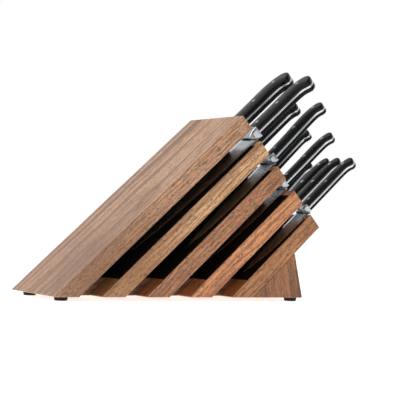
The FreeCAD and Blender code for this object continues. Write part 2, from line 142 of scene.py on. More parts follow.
class StudioSettings(bpy.types.PropertyGroup):
    """Camera and lights."""
    lens: bpy.props.FloatProperty(
        name="Focal length", description="On a 36 mm wide sensor, in millimetres", default=113.55)
    camera_offset: bpy.props.FloatVectorProperty(
        name="Camera", description="Where the camera stands, from the first board's low corner",
        default=(-0.640925, -1.372563, 0.098255), subtype="XYZ", unit="LENGTH", size=3)
    key_power: bpy.props.FloatProperty(
        name="Key light", description="Large soft light over the block, in watts", default=11.0)
    fill_power: bpy.props.FloatProperty(
        name="Fill light", description="Soft light beside the camera, in watts", default=2.5)
    backdrop_glow: bpy.props.FloatProperty(
        name="Walls", description="Brightness of the studio's white walls", default=1.0)
    floor_glow: bpy.props.FloatProperty(
        name="Floor", description="Brightness that the floor gives off by itself", default=0.74)
    room_glow: bpy.props.FloatProperty(
        name="Ceiling", description="Brightness of the studio's ceiling", default=0.22)
    wall_top: bpy.props.FloatProperty(
        name="Wall top", description="Height where the white walls start to fade, as a sine", default=0.4)
    ceiling_start: bpy.props.FloatProperty(
        name="Ceiling start", description="Height where the walls have faded, as a sine", default=0.75)
    near_share: bpy.props.FloatProperty(
        name="Near side", description="Brightness behind the camera, as a share of the walls'", default=0.35)


# ---------------------------------------------------------------- surfaces

def natural_spline(knots, values, at):
    """Curve of cubic pieces through values at the knots, with equal slope and bend where pieces meet
    and no bend at the ends; it is worked out from the bends, which solve one set of linear equations."""
    steps = np.diff(knots)
    count = len(knots)
    system = np.eye(count)
    right = np.zeros((count, values.shape[1]))
    rows = np.arange(1, count - 1)
    system[rows, rows - 1] = steps[:-1]
    system[rows, rows] = 2 * (steps[:-1] + steps[1:])
    system[rows, rows + 1] = steps[1:]
    slopes = np.diff(values, axis=0) / steps[:, None]
    right[1:-1] = 6 * np.diff(slopes, axis=0)
    bends = np.linalg.solve(system, right)
    piece = np.clip(np.searchsorted(knots, at, side="right") - 1, 0, count - 2)
    step = steps[piece][:, None]
    after = (at - knots[piece])[:, None]
    before = step - after
    return ((bends[piece] * before ** 3 + bends[piece + 1] * after ** 3) / (6 * step)
            + (values[piece] / step - bends[piece] * step / 6) * before
            + (values[piece + 1] / step - bends[piece + 1] * step / 6) * after)


def unit_ring(corner_points, side_points):
    """Recipe of a rectangle with round corners: each point is a share of the way to the corner's
    middle on both axes, plus the corner's radius times a direction that turns through the corner."""
    turn = np.linspace(0, math.pi / 2, corner_points)
    across = np.linspace(1, -1, side_points + 2)[1:-1]
    shares, directions = [], []
    for quarter in range(4):
        start = quarter * math.pi / 2
        middle = np.array([math.cos(start + math.pi / 4), math.sin(start + math.pi / 4)])
        middle = np.sign(middle)
        shares.append(np.tile(middle, (corner_points, 1)))
        directions.append(np.stack([np.cos(start + turn), np.sin(start + turn)], axis=1))
        facing = np.round([math.cos(start + math.pi / 2), math.sin(start + math.pi / 2)])
        sideways = np.where(facing == 0, middle, 0)
        shares.append(np.where(facing == 0, across[:, None] * sideways, middle))
        directions.append(np.tile(facing, (side_points, 1)))
    return np.concatenate(shares), np.concatenate(directions)


RING_SHARES, RING_DIRECTIONS = unit_ring(corner_points=7, side_points=5)


def rounded_bar(stations, first_low, first_high, second_low, second_high, corner):
    """Rectangle with round corners carried along a straight path: at each station the section spans
    first_low to first_high and second_low to second_high, with corners no rounder than it allows."""
    low = np.stack(np.broadcast_arrays(first_low, second_low), axis=-1)
    high = np.stack(np.broadcast_arrays(first_high, second_high), axis=-1)
    low, high = (np.broadcast_to(edge, (len(stations), 2)) for edge in (low, high))
    half = (high - low) / 2
    radius = np.minimum(corner, 0.9 * half.min(axis=1))[:, None, None]
    section = (low + high)[:, None] / 2 + RING_SHARES * (half[:, None] - radius) + RING_DIRECTIONS * radius
    path = np.broadcast_to(np.asarray(stations)[:, None, None], section.shape[:2] + (1,))
    return np.concatenate([path, section], axis=2)


def turned(profile, middle, points_around=40):
    """Profile of radii and heights carried round a vertical axis through middle: the distance from
    the axis is the radius, and its direction turns once."""
    angle = np.linspace(0, 2 * math.pi, points_around, endpoint=False)
    radius, height = np.asarray(profile, float).T
    x = middle[0] + radius[:, None] * np.cos(angle)
    y = middle[1] + radius[:, None] * np.sin(angle)
    z = np.broadcast_to(middle[2] + height[:, None], x.shape)
    return np.stack([x, y, z], axis=-1)


def ring_faces(rings, around):
    """Quads of a tube whose point j on ring i has the number i times around plus j."""
    ring, step = np.meshgrid(np.arange(rings - 1), np.arange(around), indexing="ij")
    following = (step + 1) % around
    quads = np.stack([ring * around + step, ring * around + following,
                      (ring + 1) * around + following, (ring + 1) * around + step], axis=-1)
    return quads.reshape(-1, 4)


def tube_object(name, tubes, material, sharp_angle=35.0):
    """One object from closed tubes of points; the first and last ring of each are capped, points in
    the same place are joined, faces are turned outwards and edges over sharp_angle stay sharp."""
    points, faces, start = [], [], 0
    for tube in tubes:
        rings, around = tube.shape[:2]
        points.append(tube.reshape(-1, 3))
        faces += (ring_faces(rings, around) + start).tolist()
        faces.append(list(range(start, start + around)))
        faces.append(list(range(start + (rings - 1) * around, start + rings * around)))
        start += rings * around
    mesh = bpy.data.meshes.new(name)
    mesh.from_pydata(np.concatenate(points).tolist(), [], faces)
    work = bmesh.new()
    work.from_mesh(mesh)
    bmesh.ops.remove_doubles(work, verts=work.verts, dist=0.001 * MM)
    bmesh.ops.recalc_face_normals(work, faces=work.faces)
    work.to_mesh(mesh)
    work.free()
    mesh.shade_smooth()
    mesh.set_sharp_from_angle(angle=math.radians(sharp_angle))
    mesh.materials.append(material)
    piece = bpy.data.objects.new(name, mesh)
    bpy.context.scene.collection.objects.link(piece)
    return piece


# ---------------------------------------------------------------- knives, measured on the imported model

def node_points(node):
    """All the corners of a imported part's mesh."""
    mesh = frame["nodes"][node].data
    flat = np.empty(len(mesh.vertices) * 3, np.float32)
    mesh.vertices.foreach_get("co", flat)
    return flat.reshape(-1, 3).astype(float)


def measure_knife(knife):
    """A knife's axes, origin and sizes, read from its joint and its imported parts.

    Known fault: "back" should be half the thickness of the blade's back. It is the largest distance
    from the middle plane among all steel points at the shoulder that lie within 1.8 mm of that plane,
    and those on the bolster's round top corner lie further out than the blade's. So "back" comes out
    too large, and the ground blades are too thick.
    """
    axis = next(joint["axis"] for joint in frame["joints"] if joint["child"] == knife)
    along = np.array(axis) / np.linalg.norm(axis)
    out = np.array([-along[2], 0, along[0]])
    out /= np.linalg.norm(out)
    axes = np.stack([along, np.cross(out, along), out])
    pins = node_points(f"{knife}_rivets")
    middle = (pins.min(axis=0) + pins.max(axis=0)) / 2
    steel, scale, pins = ((node_points(f"{knife}_{part}") - middle) @ axes.T
                          for part in ("blade", "upper_scale", "rivets"))
    shoulder = steel[np.abs(steel[:, 2]) > 2 * MM, 0].min()
    for points in (steel, scale, pins):
        points[:, 0] -= shoulder
    front = scale[:, 0].min()
    face = scale[scale[:, 0] < front + 0.1 * MM]
    root = steel[(np.abs(steel[:, 0]) < 0.1 * MM) & (np.abs(steel[:, 2]) < 1.8 * MM)]
    rivet_radius = (pins[:, 1].max() - pins[:, 1].min()) / 2
    tip = steel[steel[:, 0].argmin()]
    return {
        "axes": axes, "origin": middle + along * shoulder,
        "handle": scale[:, 0].max(), "bolster": front, "half_height": face[:, 1].max(),
        "tang": scale[:, 2].min(), "outer": scale[:, 2].max(),
        "blade": -tip[0], "point": tip[1], "heel": steel[steel[:, 0] < 1 * MM, 1].min(),
        "spine": root[:, 1].max(), "back": np.abs(root[:, 2]).max(),
        "rivet_radius": rivet_radius,
        "first_rivet": pins[:, 0].min() + rivet_radius, "last_rivet": pins[:, 0].max() - rivet_radius,
    }


def in_place(knife, points):
    """From the knife's own axes to the model's frame."""
    return knife["origin"] + points @ knife["axes"]


# Outline of the butt, as shares of the handle's height: distance in front of the butt's end, and
# height above the middle line.
BUTT = np.array([(0.95, 0.5), (0.45, 0.35), (0.15, 0.16), (0, -0.1), (0.06, -0.42), (0.3, -0.728),
                 (0.62, -0.9), (0.8, -0.844), (0.93, -0.68), (1.12, -0.556), (1.6, -0.485)])
BUTT_TURN = 8


def handle_curve(knife, samples=44):
    """Upper and lower halves of the handle's outline, each from the bolster to the lowest point of
    the butt's hook: a natural spline through named points, whose knots are the distances between them."""
    front, length, height = knife["bolster"], knife["handle"], 2 * knife["half_height"]
    points = np.array([
        (front, 0.5 * height), (front + 0.45 * (length - front), 0.505 * height),
        *(BUTT * (-height, height) + (length, 0)),
        (front + 0.4 * (length - front), -0.49 * height), (front, -0.5 * height)])
    knots = np.concatenate([[0], np.cumsum(np.linalg.norm(np.diff(points, axis=0), axis=1))])
    hook_end = knots[BUTT_TURN]
    upper_at = np.linspace(0, hook_end, samples)
    lower_at = np.linspace(knots[-1], hook_end, samples)
    curves = []
    for at, side in ((upper_at, 1.0), (lower_at, -1.0)):
        place = natural_spline(knots, points, at)
        step = 0.01 * MM
        ahead = natural_spline(knots, points, np.clip(at + step, 0, knots[-1]))
        behind = natural_spline(knots, points, np.clip(at - step, 0, knots[-1]))
        tangent = (ahead - behind) / np.linalg.norm(ahead - behind, axis=1)[:, None]
        inward = np.stack([tangent[:, 1], -tangent[:, 0]], axis=1)
        inward[0] = (0, -side)
        curves.append((place, inward))
    return curves


def slab(knife, inner, outer, inner_ease, outer_ease, outer_reach, crown=0.0, cross_points=9):
    """Plate cut to the handle's outline: each ring starts on the outline's upper half, turns over a
    quarter ellipse of outer_reach by outer_ease, crosses to the lower half on a parabola that rises
    by crown, and comes back along the inner face. Towards the hook the two halves run together."""
    (upper, upper_in), (lower, lower_in) = handle_curve(knife)
    turn = np.linspace(0, math.pi / 2, 7)
    ease = np.linspace(0, math.pi / 2, 3)
    offset = np.concatenate([inner_ease * (1 - np.sin(ease)), outer_reach * (1 - np.cos(turn))])
    edge = outer - crown
    level = np.concatenate([inner + inner_ease * (1 - np.cos(ease)), edge - outer_ease * (1 - np.sin(turn))])
    side_upper = upper[:, None] + upper_in[:, None] * offset[:, None]
    side_lower = lower[:, None] + lower_in[:, None] * offset[:, None]
    share = np.linspace(0, 1, cross_points + 2)[1:-1, None]
    flat = side_upper[:, -1:] * (1 - share) + side_lower[:, -1:] * share
    ring = np.concatenate([side_upper, flat, side_lower[:, ::-1]], axis=1)
    heights = np.concatenate([level, edge + crown * 4 * share[:, 0] * (1 - share[:, 0]), level[::-1]])
    heights = np.broadcast_to(heights[:, None], ring.shape[:2] + (1,))
    return np.concatenate([ring, heights], axis=2)


def blade_surface(knife, settings, samples=56):
    """Blade as rings from the shoulder to the point. The edge and the dropped back are quadratic
    curves; half the thickness falls in a straight line from the back to the edge, times a straight
    fall towards the point. Where the blade is lower than a share of its height at the shoulder, the
    thickness shrinks with the height, so the point stays sharp. It closes over the cutting bevel.
    On every ring but the last, half the thickness is at least least_thickness."""
    length, spine, heel, point = (knife[key] for key in ("blade", "spine", "heel", "point"))
    share = np.sin(np.linspace(0, math.pi / 2, samples))
    # On the edge's curve the share is 1.6 t - 0.6 t^2; on the back's, 1 - share is 0.4 t + 0.15 t^2.
    # The thickness loses a share up to the point, and is less again at the round back and the edge.
    lost, at_back, at_edge = 0.62, 0.7, 0.08
    on_edge = (1.6 - np.sqrt(np.maximum(2.56 - 2.4 * share, 0))) / 1.2
    low = heel * (1 - on_edge ** 2) + point * on_edge ** 2
    on_back = np.clip((-0.4 + np.sqrt(0.16 + 0.6 * (1 - share))) / 0.3, 0, 1)
    high = spine - (spine - point) * (1 - on_back) ** 2
    tall = high - low
    depth = np.array([0, 0.06, 0.2, 0.4, 0.6, 0.8])
    bevel = np.minimum(settings.cutting_bevel, 0.12 * tall)[:, None]
    flat = high[:, None] - depth * (tall[:, None] - bevel)
    across = np.concatenate([flat, low[:, None] + bevel, low[:, None]], axis=1)
    edge = settings.edge_thickness / 2
    wedge = edge + (knife["back"] - edge) * (across - heel) / (spine - heel)
    fall = (1 - lost * share)[:, None] * np.minimum(1, (1 - share[:, None]) * 60)
    thick = wedge * fall * np.minimum(1, tall / (settings.point_taper * tall[0]))[:, None]
    thick[:, 0] *= at_back
    thick[:, -1] *= at_edge
    thick[:-1] = np.maximum(thick[:-1], settings.least_thickness)
    ring_across = np.concatenate([across, across[:, ::-1]], axis=1)
    ring_thick = np.concatenate([thick, -thick[:, ::-1]], axis=1)
    path = np.broadcast_to(-length * share[:, None], ring_across.shape)
    return np.stack([path, ring_across, ring_thick], axis=-1)


def bolster_tubes(knife, settings):
    """Collar and guard. The collar is a rounded bar whose height and thickness follow natural splines
    through the shoulder, the neck, the swell and the handle. Its corners are the scales' at both ends
    and rounder between, on a power of a sine. The guard is a bar that runs down to the heel and
    narrows on a quadratic curve."""
    half, outer, length = knife["half_height"], knife["outer"], knife["bolster"]
    knots = np.array([0, 0.38, 0.75, 1.0]) * length
    sizes = np.array([
        (-half + 1 * MM, knife["spine"], settings.shoulder_thickness / 2),
        (-half + 2.2 * MM, half - 1.2 * MM, 0.62 * outer),
        (-half + 0.5 * MM, half - 0.4 * MM, 0.95 * outer),
        (-half, half, outer)])
    stations = np.linspace(0, length, 20)
    low, high, thick = natural_spline(knots, sizes, stations).T
    low, high, thick = np.maximum(low, -half), np.minimum(high, half), np.minimum(thick, outer)
    scale_corner = min(settings.pillow_limit, 2 * settings.pillow * half)
    roundness = settings.neck_rounding * np.sin(math.pi * np.clip(stations / length, 0, 1)) ** 0.7
    corner = scale_corner + roundness * (thick - scale_corner)
    collar = rounded_bar(stations, low, high, -thick, thick, np.minimum(corner, 0.98 * thick))
    share = np.linspace(0, 1, 16)
    down = knife["heel"] * (1 - share) ** 2 - half * 2 * share * (1 - share) + (3 * MM - half) * share ** 2
    rear = settings.guard_width * (1 - share ** 2) + 0.6 * length * share ** 2
    thick = settings.guard_thickness / 2 * (0.72 + 0.28 * share)
    guard = rounded_bar(down, 0, rear, -thick, thick, 0.8 * MM)[..., [1, 0, 2]]
    return [collar, guard]


# ---------------------------------------------------------------- materials

def linear(hex_colour):
    """Linear colour of an sRGB hex value."""
    channels = [int(hex_colour[place:place + 2], 16) / 255 for place in (1, 3, 5)]
    return (*((c / 12.92) if c <= 0.04045 else ((c + 0.055) / 1.055) ** 2.4 for c in channels), 1.0)


def add_node(tree, kind, inputs=None, stops=None, **options):
    """Adds a node, sets its options and its ramp's stops, and sets or links its sockets."""
    node = tree.nodes.new(kind)
    for option, value in options.items():
        setattr(node, option, value)
    for socket, value in (inputs or {}).items():
        if isinstance(value, bpy.types.NodeSocket):
            tree.links.new(value, node.inputs[socket])
        else:
            node.inputs[socket].default_value = value
    if stops:
        ramp = node.color_ramp
        while len(ramp.elements) < len(stops):
            ramp.elements.new(0.5)
        for element, (place, shade) in zip(ramp.elements, stops):
            element.position = place
            element.color = linear(shade) if isinstance(shade, str) else (shade, shade, shade, 1.0)
    return node


def start_material(name, **sockets):
    """A material with one surface shader, its constant sockets set, and Object coordinates."""
    material = bpy.data.materials.new(name)
    material.use_nodes = True
    tree = material.node_tree
    tree.nodes.clear()
    constants = {socket.replace("_", " "): value for socket, value in sockets.items()}
    shader = add_node(tree, "ShaderNodeBsdfPrincipled", constants)
    add_node(tree, "ShaderNodeOutputMaterial", {"Surface": shader.outputs["BSDF"]})
    place = add_node(tree, "ShaderNodeTexCoord")
    return material, tree, shader, place.outputs["Object"]


def oiled_wood(name, light, dark, streak, wood, grain_angle=SLOPE, pith=(0.0, 0.02, -0.16),
               streak_share=0.5, knot=None, painted_shade=None):
    """Oiled hardwood, planed and sanded: growth rings cut along their length, so the faces show long
    bands and the ends show arcs; heartwood streaks, fine fibres and short open pores."""
    material, tree, shader, place = start_material(
        name, Roughness=0.5, IOR=1.5, Coat_Weight=0.5, Coat_Roughness=0.38)
    grain = add_node(tree, "ShaderNodeMapping", {
        "Vector": place, "Rotation": (0.0, grain_angle, 0.012), "Location": pith}).outputs["Vector"]
    # Slow sway of the fibres: a few millimetres over a hand's width.
    swayed = add_node(tree, "ShaderNodeVectorMath", {0: grain, 1: (9.0, 22.0, 22.0)}, operation="MULTIPLY")
    sway = add_node(tree, "ShaderNodeTexNoise", {"Vector": swayed.outputs[0], "Scale": 1.0, "Detail": 2.0})
    sway = add_node(tree, "ShaderNodeVectorMath", {0: sway.outputs["Color"], 1: (0.5, 0.5, 0.5)},
                    operation="SUBTRACT")
    sway = add_node(tree, "ShaderNodeVectorMath", {0: sway.outputs[0], 1: (0.0, 0.011, 0.011)},
                    operation="MULTIPLY")
    grain = add_node(tree, "ShaderNodeVectorMath", {0: grain, 1: sway.outputs[0]}, operation="ADD").outputs[0]
    if knot:
        # Curled figure round one place: the coordinates turn there.
        spot, reach = knot
        near = add_node(tree, "ShaderNodeVectorMath", {0: place, 1: spot}, operation="DISTANCE")
        near = add_node(tree, "ShaderNodeMapRange", {
            "Value": near.outputs["Value"], "From Min": reach, "From Max": 0.1 * reach,
            "To Min": 0.0, "To Max": 1.0},
            interpolation_type="SMOOTHSTEP")
        curl = add_node(tree, "ShaderNodeTexNoise", {"Vector": place, "Scale": 95.0, "Detail": 3.0})
        curl = add_node(tree, "ShaderNodeVectorMath", {0: curl.outputs["Color"], 1: (0.5, 0.5, 0.5)},
                        operation="SUBTRACT")
        curl = add_node(tree, "ShaderNodeVectorMath", {0: curl.outputs[0], "Scale": near.outputs["Result"]},
                        operation="SCALE")
        curl = add_node(tree, "ShaderNodeVectorMath", {0: curl.outputs[0], 1: (0.03, 0.02, 0.02)},
                        operation="MULTIPLY")
        grain = add_node(tree, "ShaderNodeVectorMath", {0: grain, 1: curl.outputs[0]},
                         operation="ADD").outputs[0]
    # Growth rings: the distance from the pith, counted in years, gives slow early and dark late wood.
    radial = add_node(tree, "ShaderNodeVectorMath", {0: grain, 1: (0.05, 1.0, 1.0)}, operation="MULTIPLY")
    radius = add_node(tree, "ShaderNodeVectorMath", {0: radial.outputs[0]}, operation="LENGTH")
    years = add_node(tree, "ShaderNodeMath", {0: radius.outputs["Value"], 1: wood.ring_spacing},
                     operation="DIVIDE")
    phase = add_node(tree, "ShaderNodeMath", {0: years.outputs[0]}, operation="FRACT")
    ring = add_node(tree, "ShaderNodeValToRGB", {"Fac": phase.outputs[0]},
                    stops=[(0.0, 0.25), (0.45, 0.05), (0.85, 0.75), (1.0, 0.25)])
    # Streaks, fibres and pores: noise drawn out along the grain.
    stretched = {}
    for layer, width, drawn_out in (("streak", wood.streak_width, 0.03), ("fibre", wood.fibre_width, 0.03),
                                    ("pore", wood.pore_width, 0.24)):
        stretch = (drawn_out / width, 1 / width, 1 / width)
        scaled = add_node(tree, "ShaderNodeVectorMath", {0: grain, 1: stretch}, operation="MULTIPLY")
        stretched[layer] = add_node(tree, "ShaderNodeTexNoise", {
            "Vector": scaled.outputs[0], "Scale": 1.0, "Detail": 3.0, "Roughness": 0.6}).outputs["Fac"]
    tone = add_node(tree, "ShaderNodeMath", {0: stretched["fibre"], 1: 2.2, 2: -0.85},
                    operation="MULTIPLY_ADD")
    tone = add_node(tree, "ShaderNodeMath", {0: ring.outputs["Color"], 1: 0.55, 2: tone.outputs[0]},
                    operation="MULTIPLY_ADD")
    body = add_node(tree, "ShaderNodeValToRGB", {"Fac": tone.outputs[0]}, stops=[(0.2, light), (0.72, dark)])
    bands = add_node(tree, "ShaderNodeMapRange", {
        "Value": stretched["streak"], "From Min": 0.46, "From Max": 0.62, "To Max": streak_share},
        interpolation_type="SMOOTHSTEP")
    colour = add_node(tree, "ShaderNodeMix", {
        "Factor": bands.outputs["Result"], 6: body.outputs["Color"], 7: linear(streak)}, data_type="RGBA")
    if painted_shade:
        # Painted shade: the wood darkens round one place, fading out over reach. It stands in for the light
        # falling off towards the foot of the near face.
        spot, reach = painted_shade
        near = add_node(tree, "ShaderNodeVectorMath", {0: place, 1: spot}, operation="DISTANCE")
        near = add_node(tree, "ShaderNodeMapRange", {
            "Value": near.outputs["Value"], "From Min": reach, "From Max": 0.0, "To Min": 0.0, "To Max": 0.8},
            interpolation_type="SMOOTHSTEP")
        colour = add_node(tree, "ShaderNodeMix", {
            "Factor": near.outputs["Result"], 6: colour.outputs[2], 7: linear(dark)}, data_type="RGBA")
    pores = add_node(tree, "ShaderNodeMapRange", {
        "Value": stretched["pore"], "From Min": 0.53, "From Max": 0.63, "To Min": 0.0, "To Max": 0.75})
    colour = add_node(tree, "ShaderNodeMix", {
        "Factor": pores.outputs["Result"], 6: colour.outputs[2], 7: linear("#3d2415")}, data_type="RGBA")
    tree.links.new(colour.outputs[2], shader.inputs["Base Color"])
    relief = add_node(tree, "ShaderNodeMath", {0: pores.outputs["Result"], 1: -1.0, 2: stretched["fibre"]},
                      operation="MULTIPLY_ADD")
    bump = add_node(tree, "ShaderNodeBump", {
        "Height": relief.outputs[0], "Strength": 0.35, "Distance": 0.08 * MM})
    tree.links.new(bump.outputs["Normal"], shader.inputs["Normal"])
    return material


def black_felt():
    """Black felt sheet, pressed: the fibres swallow nearly all light, with a faint dusty nap."""
    material, tree, shader, place = start_material(
        "black_felt_pressed", Roughness=0.95, Specular_IOR_Level=0.08)
    nap = add_node(tree, "ShaderNodeTexNoise", {"Vector": place, "Scale": 1 / (1.2 * MM), "Detail": 3.0})
    colour = add_node(tree, "ShaderNodeValToRGB", {"Fac": nap.outputs["Fac"]},
                      stops=[(0.3, "#0b0908"), (0.75, "#191412")])
    tree.links.new(colour.outputs["Color"], shader.inputs["Base Color"])
    bump = add_node(tree, "ShaderNodeBump", {
        "Height": nap.outputs["Fac"], "Strength": 0.5, "Distance": 0.15 * MM})
    tree.links.new(bump.outputs["Normal"], shader.inputs["Normal"])
    return material


def stained_wood():
    """Black-stained strip: matt, with the grain just visible."""
    material, tree, shader, place = start_material(
        "black_stained_wood", Roughness=0.85, Specular_IOR_Level=0.15)
    grain = add_node(tree, "ShaderNodeMapping", {
        "Vector": place, "Rotation": (0.0, SLOPE, 0.0), "Scale": (25.0, 600.0, 600.0)})
    noise = add_node(tree, "ShaderNodeTexNoise", {
        "Vector": grain.outputs["Vector"], "Scale": 1.0, "Detail": 3.0})
    colour = add_node(tree, "ShaderNodeValToRGB", {"Fac": noise.outputs["Fac"]},
                      stops=[(0.3, "#0c0a09"), (0.75, "#1c1613")])
    tree.links.new(colour.outputs["Color"], shader.inputs["Base Color"])
    return material


def foot_rubber():
    """Moulded rubber: nearly black, dull, with the mould's fine grain."""
    material, tree, shader, place = start_material("rubber_moulded", Roughness=0.75, Specular_IOR_Level=0.35)
    grain = add_node(tree, "ShaderNodeTexNoise", {"Vector": place, "Scale": 1 / (0.8 * MM), "Detail": 2.0})
    colour = add_node(tree, "ShaderNodeValToRGB", {"Fac": grain.outputs["Fac"]},
                      stops=[(0.3, "#131314"), (0.7, "#1d1d1f")])
    tree.links.new(colour.outputs["Color"], shader.inputs["Base Color"])
    bump = add_node(tree, "ShaderNodeBump", {
        "Height": grain.outputs["Fac"], "Strength": 0.3, "Distance": 0.05 * MM})
    tree.links.new(bump.outputs["Normal"], shader.inputs["Normal"])
    return material


def handle_acetal():
    """Moulded and buffed acetal: deep black with a soft gloss and faint wiping marks."""
    material, tree, shader, place = start_material(
        "acetal_buffed", Roughness=0.28, IOR=1.48, Specular_IOR_Level=0.2)
    lines = add_node(tree, "ShaderNodeMapping", {
        "Vector": place, "Rotation": (0.0, SLOPE, 0.0), "Scale": (12.0, 150.0, 150.0)})
    marks = add_node(tree, "ShaderNodeTexNoise", {
        "Vector": lines.outputs["Vector"], "Scale": 1.0, "Detail": 0.0})
    rough = add_node(tree, "ShaderNodeMapRange", {
        "Value": marks.outputs["Fac"], "From Min": 0.3, "From Max": 0.7, "To Min": 0.25, "To Max": 0.31})
    tree.links.new(rough.outputs["Result"], shader.inputs["Roughness"])
    cloud = add_node(tree, "ShaderNodeTexNoise", {"Vector": place, "Scale": 60.0, "Detail": 2.0})
    colour = add_node(tree, "ShaderNodeValToRGB", {"Fac": cloud.outputs["Fac"]},
                      stops=[(0.3, "#050608"), (0.75, "#090a0d")])
    tree.links.new(colour.outputs["Color"], shader.inputs["Base Color"])
    return material


def ground_steel():
    """Stainless blade steel, ground across and satin finished: fine lines from back to edge blur
    its reflections along the knife."""
    material, tree, shader, place = start_material(
        "stainless_ground", Metallic=1.0, Roughness=0.24)
    lines = add_node(tree, "ShaderNodeMapping", {
        "Vector": place, "Rotation": (0.0, SLOPE, 0.0), "Scale": (350.0, 15.0, 15.0)})
    scratch = add_node(tree, "ShaderNodeTexNoise", {
        "Vector": lines.outputs["Vector"], "Scale": 1.0, "Detail": 2.0})
    rough = add_node(tree, "ShaderNodeMapRange", {
        "Value": scratch.outputs["Fac"], "From Min": 0.3, "From Max": 0.7, "To Min": 0.19, "To Max": 0.22})
    tree.links.new(rough.outputs["Result"], shader.inputs["Roughness"])
    colour = add_node(tree, "ShaderNodeValToRGB", {"Fac": scratch.outputs["Fac"]},
                      stops=[(0.25, "#d2dce3"), (0.8, "#dde6ed")])
    tree.links.new(colour.outputs["Color"], shader.inputs["Base Color"])
    return material


def polished_steel(name, roughness, light="#d4d6d8", dark="#c8cacd"):
    """Forged stainless steel, polished: clear reflections with a slightly uneven, hand-held finish."""
    material, tree, shader, place = start_material(name, Metallic=1.0, Roughness=roughness)
    cloud = add_node(tree, "ShaderNodeTexNoise", {"Vector": place, "Scale": 90.0, "Detail": 0.0})
    rough = add_node(tree, "ShaderNodeMapRange", {
        "Value": cloud.outputs["Fac"], "From Min": 0.3, "From Max": 0.7,
        "To Min": 0.9 * roughness, "To Max": 1.1 * roughness})
    tree.links.new(rough.outputs["Result"], shader.inputs["Roughness"])
    colour = add_node(tree, "ShaderNodeValToRGB", {"Fac": cloud.outputs["Fac"]},
                      stops=[(0.3, dark), (0.7, light)])
    tree.links.new(colour.outputs["Color"], shader.inputs["Base Color"])
    return material


def studio_white(glow):
    """Seamless paper, pale and matt."""
    material, tree, shader, place = start_material("seamless_paper", Roughness=0.9, Specular_IOR_Level=0.1)
    tooth = add_node(tree, "ShaderNodeTexNoise", {"Vector": place, "Scale": 300.0})
    colour = add_node(tree, "ShaderNodeValToRGB", {"Fac": tooth.outputs["Fac"]},
                      stops=[(0.3, "#f4f4f4"), (0.7, "#f7f7f7")])
    tree.links.new(colour.outputs["Color"], shader.inputs["Base Color"])
    shader.inputs["Emission Color"].default_value = linear("#ffffff")
    shader.inputs["Emission Strength"].default_value = glow
    return material


# Finish of each wooden part: light wood, dark wood, streak, and where the tree's middle lies.
BOARD_FINISH = {
    "board_1": {"light": "#d0a07a", "dark": "#92623f", "streak": "#714a35", "pith": (0.0, 0.03, -0.35),
                # The first two boards darken round a spot at the foot of their near face. This is painted
                # shade, given as its middle and its reach in metres.
                "streak_share": 0.75, "painted_shade": ((-0.17, -0.0665, 0.04), 0.16)},
    "board_2": {"light": "#e8b684", "dark": "#a06a3c", "streak": "#7c4e2b", "pith": (0.31, 0.25, 0.09),
                "painted_shade": ((-0.12, -0.0665, 0.03), 0.13)},
    "board_3": {"light": "#c48658", "dark": "#875432", "streak": "#643c25", "pith": (0.12, 0.18, -0.2)},
    "board_4": {"light": "#e8a066", "dark": "#a46036", "streak": "#7f4122", "pith": (0.57, 0.29, 0.2)},
    "board_5": {"light": "#c4844e", "dark": "#8c562c", "streak": "#704424", "pith": (0.73, 0.22, -0.1)},
    "rear_leg": {"light": "#b27442", "dark": "#744424", "streak": "#57331b", "pith": (0.4, 0.2, 0.1)},
}
# Spacers' wood, darkened beyond its own colour to paint in the shade that falls between the boards at the
# bottom. The dowels share it.
SPACER_FINISH_PAINTED_SHADE = {"light": "#8a5a34", "dark": "#5a371c", "streak": "#412612"}
# Curled figure: its board, its place on the near face as shares of the board's box along X and Z,
# and its reach in metres.
FIGURED_BOARD = "board_3"
FIGURE_PLACE = (0.72, 0.70)
FIGURE_REACH = 0.045
# A rubber foot: the rounding of its rim, how much smaller its radius is at the rim than at the wood,
# and the hollow under it: its depth, and where its flat and its slope end, as shares of the radius
# at the wood.
FOOT_RIM = 1.2 * MM
FOOT_TAPER = 0.75 * MM
FOOT_HOLLOW = 0.4 * MM
FOOT_HOLLOW_SHARES = (0.45, 0.55)
# Eased arris of a tang's plate.
TANG_EASE = 0.2 * MM
RIVETS_PER_KNIFE = 3
# The studio, in metres: half the floor's width, and each light's place and width.
FLOOR_REACH = 20.0
KEY_LIGHT = ((-0.75, 0.1, 1.25), 1.3)
FILL_LIGHT = ((0.25, -1.2, 0.95), 1.2)
# How far a line of sight points along Y where the room is dimmest and where it is at full glow.
NEAR_DIMMEST = -0.7
NEAR_FULL = 0.1
# The camera: its sensor's width in millimetres, where its view starts in metres, and its right, up
# and backward directions.
SENSOR_WIDTH = 36.0
VIEW_START = 0.05
CAMERA_DIRECTIONS = [(0.85273697, -0.52088264, 0.03899926), (-0.04172774, 0.00649222, 0.99910793),
                     (-0.52067116, -0.85360361, -0.0161991)]
LEG_GRAIN_ANGLE = math.radians(104)


# ---------------------------------------------------------------- operators

class BlockOperator:
    """What the operators share."""
    bl_options = {"REGISTER", "UNDO"}


def finish_node(node, material):
    """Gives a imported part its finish."""
    frame["nodes"][node].material_slots[0].material = material


def add_piece(piece, body, nodes=()):
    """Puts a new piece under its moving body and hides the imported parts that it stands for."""
    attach(piece, body)
    if nodes:
        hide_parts(*nodes)


